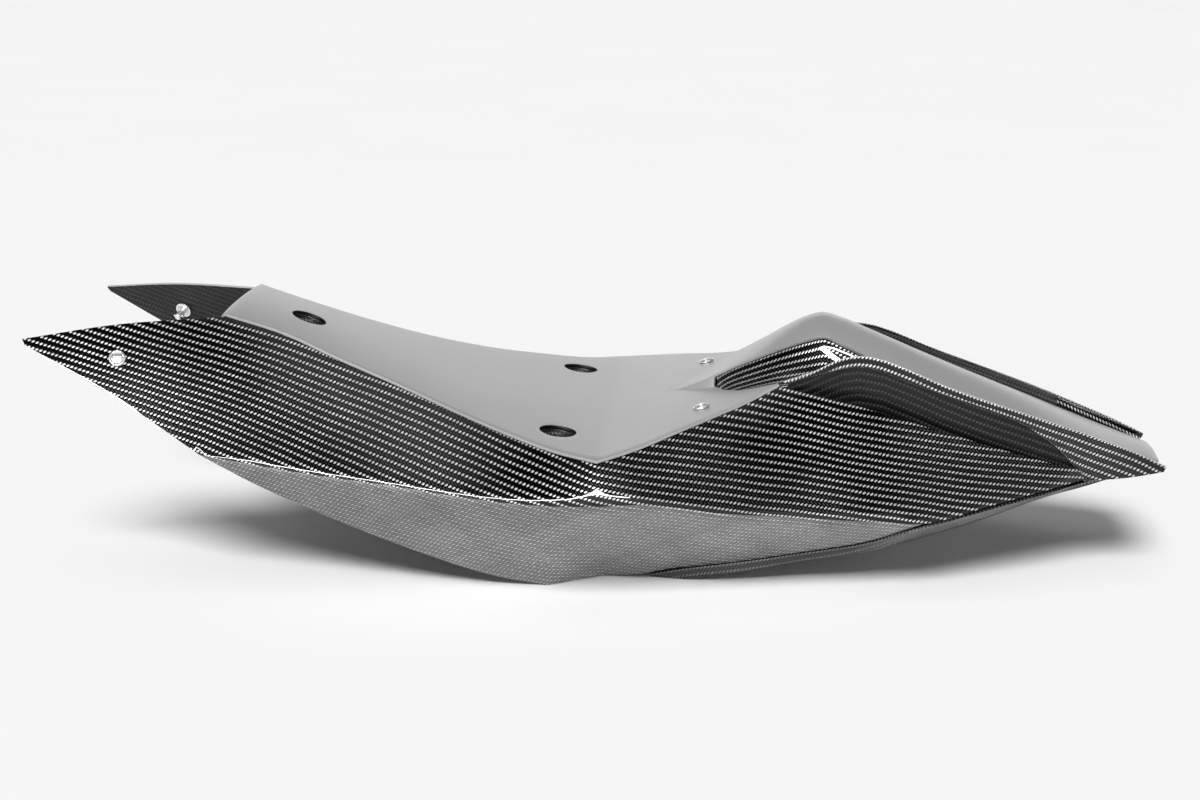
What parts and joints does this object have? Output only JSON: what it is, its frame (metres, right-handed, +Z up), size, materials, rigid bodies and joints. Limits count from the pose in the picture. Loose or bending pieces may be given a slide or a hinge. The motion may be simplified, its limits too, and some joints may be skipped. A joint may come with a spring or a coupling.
{
  "type": "motorcycle race tail",
  "caption": "Single-seat race tail: painted seat deck and hump on gloss carbon side shells with front wings, side fins, air slots and quarter-turn studs.",
  "frame": {"origin": "middle of the length and width, on the bench plane the piece stands on", "axes": "+X to the rear of the motorcycle, +Y to its right, +Z up"},
  "size_m": [0.8495, 0.342, 0.195],
  "materials": {
    "satin_grey_paint": "satin grey lacquer over a carbon laminate",
    "gloss_carbon": "2x2 twill carbon laminate under clear gloss lacquer",
    "raw_carbon": "bare carbon laminate, unlacquered",
    "black_rubber": "moulded rubber",
    "polished_steel": "polished stainless steel",
    "plain_aluminium": "turned aluminium"
  },
  "bodies": {
    "shell": {"channel_liner_left": "gloss_carbon", "channel_liner_right": "gloss_carbon", "duct_liner_left": "raw_carbon", "duct_liner_right": "raw_carbon", "fin_left": "gloss_carbon", "fin_right": "gloss_carbon", "hump_cover": "satin_grey_paint", "seat_deck": "satin_grey_paint", "side_shell_left": "gloss_carbon", "side_shell_right": "gloss_carbon", "stud_grommet_deck_left": "polished_steel", "stud_grommet_deck_right": "polished_steel", "stud_grommet_wing_left": "polished_steel", "stud_grommet_wing_right": "polished_steel", "stud_retainer_deck_left": "polished_steel", "stud_retainer_deck_right": "polished_steel", "stud_retainer_wing_left": "polished_steel", "stud_retainer_wing_right": "polished_steel", "undertray": "gloss_carbon", "well_cup_front": "raw_carbon", "well_cup_left": "raw_carbon", "well_cup_right": "raw_carbon", "well_grommet_front": "black_rubber", "well_grommet_left": "black_rubber", "well_grommet_right": "black_rubber", "well_sleeve_front": "plain_aluminium", "well_sleeve_left": "plain_aluminium", "well_sleeve_right": "plain_aluminium"},
    "stud_wing_left": {"stud_wing_left": "polished_steel"},
    "stud_wing_right": {"stud_wing_right": "polished_steel"},
    "stud_deck_left": {"stud_deck_left": "polished_steel"},
    "stud_deck_right": {"stud_deck_right": "polished_steel"}
  },
  "joints": [
    {"name": "stud_wing_left_turn", "type": "hinge", "parent": "shell", "child": "stud_wing_left", "pos_m": [-0.35662, -0.09208, 0.1654], "axis": [0.2424, -0.8695, 0.4303], "range_deg": [0, 90]},
    {"name": "stud_wing_right_turn", "type": "hinge", "parent": "shell", "child": "stud_wing_right", "pos_m": [-0.35662, 0.09208, 0.1654], "axis": [0.2424, 0.8695, 0.4303], "range_deg": [0, 90]},
    {"name": "stud_deck_left_turn", "type": "hinge", "parent": "shell", "child": "stud_deck_left", "pos_m": [0.0775, -0.073, 0.13136], "axis": [-0.2279, -0.0241, 0.9734], "range_deg": [0, 90]},
    {"name": "stud_deck_right_turn", "type": "hinge", "parent": "shell", "child": "stud_deck_right", "pos_m": [0.0775, 0.073, 0.13136], "axis": [-0.2279, 0.0241, 0.9734], "range_deg": [0, 90]}
  ]
}
